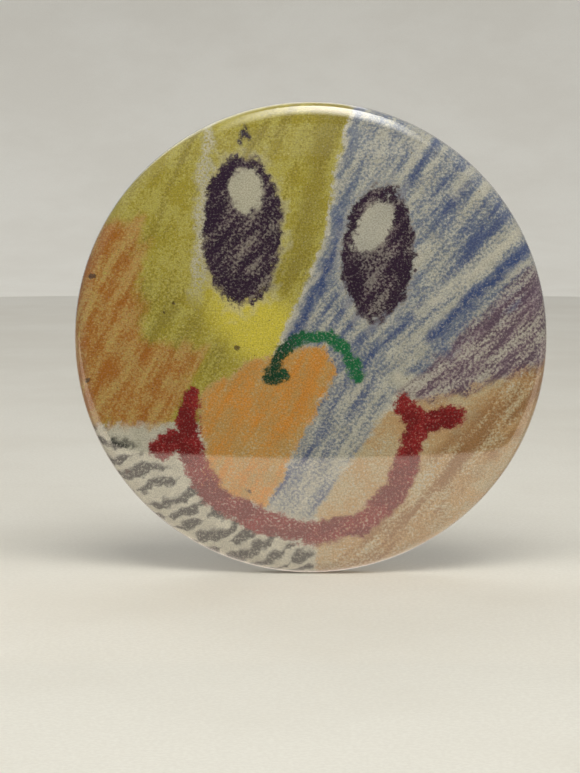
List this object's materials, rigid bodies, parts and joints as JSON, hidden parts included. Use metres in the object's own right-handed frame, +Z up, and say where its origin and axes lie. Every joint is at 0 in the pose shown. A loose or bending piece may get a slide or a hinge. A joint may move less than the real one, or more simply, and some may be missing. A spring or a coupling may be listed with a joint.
{
  "type": "button badge",
  "caption": "Round pin-back button badge with a crayon-style smiling face, a domed glossy front and a hinged spring pin behind.",
  "frame": {"origin": "on the badge's axis, in the plane of the back plate's flat ring, which lies against the cloth", "axes": "+Y is the badge's axis and points at the cloth behind it, so the face looks towards -Y; +Z is up as worn; +X is the wearer's left"},
  "size_m": [0.0572, 0.0081, 0.0572],
  "materials": {
    "clear_film": "clear polyester film, glossy",
    "printed_paper": "matte paper with a crayon drawing",
    "tinplate": "bright rolled tinplate",
    "plated_steel": "pressed, nickel-plated",
    "spring_wire": "drawn, nickel-plated"
  },
  "bodies": {
    "badge": {"clear_film": "clear_film", "art_paper": "printed_paper", "front_shell": "tinplate", "back_plate": "plated_steel", "pin_wire_coil": "spring_wire"},
    "pin": {"pin_stem": "spring_wire"}
  },
  "joints": [
    {"name": "pin_open", "type": "hinge", "parent": "badge", "child": "pin", "pos_m": [0.016, 0.0013, 0.005], "axis": [0, -0.7071, -0.7071], "range_deg": [0, 30], "stiffness_Nm_per_rad": 0.1}
  ]
}
